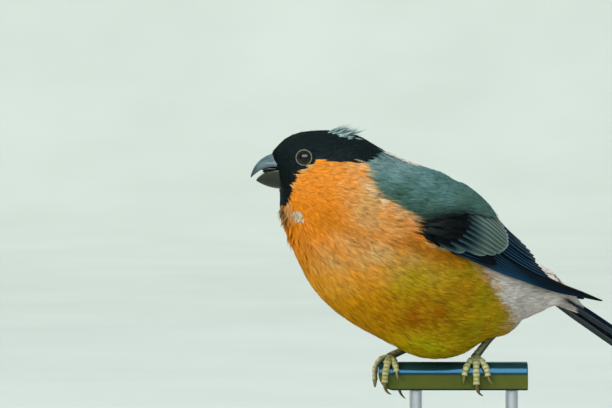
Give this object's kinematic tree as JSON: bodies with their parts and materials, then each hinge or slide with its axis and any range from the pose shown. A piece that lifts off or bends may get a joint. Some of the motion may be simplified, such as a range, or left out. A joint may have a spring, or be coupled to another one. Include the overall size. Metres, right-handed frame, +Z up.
{
  "type": "bullfinch model on display stand",
  "caption": "Life-size male bullfinch gripping a short length of perch bar, held by rods on a flat display base.",
  "frame": {"origin": "middle of the underside of the display base", "axes": "+Z up; X along the perch bar, with the bird facing -X and turned 25 degrees towards -Y; -Y is the viewer's side"},
  "size_m": [0.1385, 0.0781, 0.1112],
  "materials": {
    "plumage_black": "glossy black cap feathers",
    "plumage_orange": "soft orange body feathers, olive-yellow on the belly",
    "plumage_grey": "soft blue-grey back feathers",
    "plumage_white": "soft white rump and undertail feathers",
    "flight_feathers": "black with a blue gloss",
    "bill_horn": "glossy blue-black horn",
    "eye": "wet dark brown",
    "leg_scales": "grey-brown skin with pale scutes",
    "claw_horn": "olive-brown horn",
    "perch_plastic": "glossy black on top, dull olive-dark at the sides",
    "base_wood": "dark oiled wood",
    "rod_steel": "brushed"
  },
  "bodies": {
    "root": {"head": "plumage_black", "neck": "plumage_orange", "torso": "plumage_orange", "thigh_left": "plumage_orange", "thigh_right": "plumage_orange", "wing_left": "flight_feathers", "wing_right": "flight_feathers", "tail": "flight_feathers", "bill_upper": "bill_horn", "bill_lower": "bill_horn", "eye_left": "eye", "eye_right": "eye", "shank_left": "leg_scales", "shank_right": "leg_scales", "foot_left": "leg_scales", "foot_right": "leg_scales", "claw_left_1": "claw_horn", "claw_left_2": "claw_horn", "claw_left_3": "claw_horn", "claw_left_4": "claw_horn", "claw_right_1": "claw_horn", "claw_right_2": "claw_horn", "claw_right_3": "claw_horn", "claw_right_4": "claw_horn", "stand_perch": "perch_plastic", "stand_base": "base_wood", "stand_rod_1": "rod_steel", "stand_rod_2": "rod_steel"}
  },
  "joints": []
}
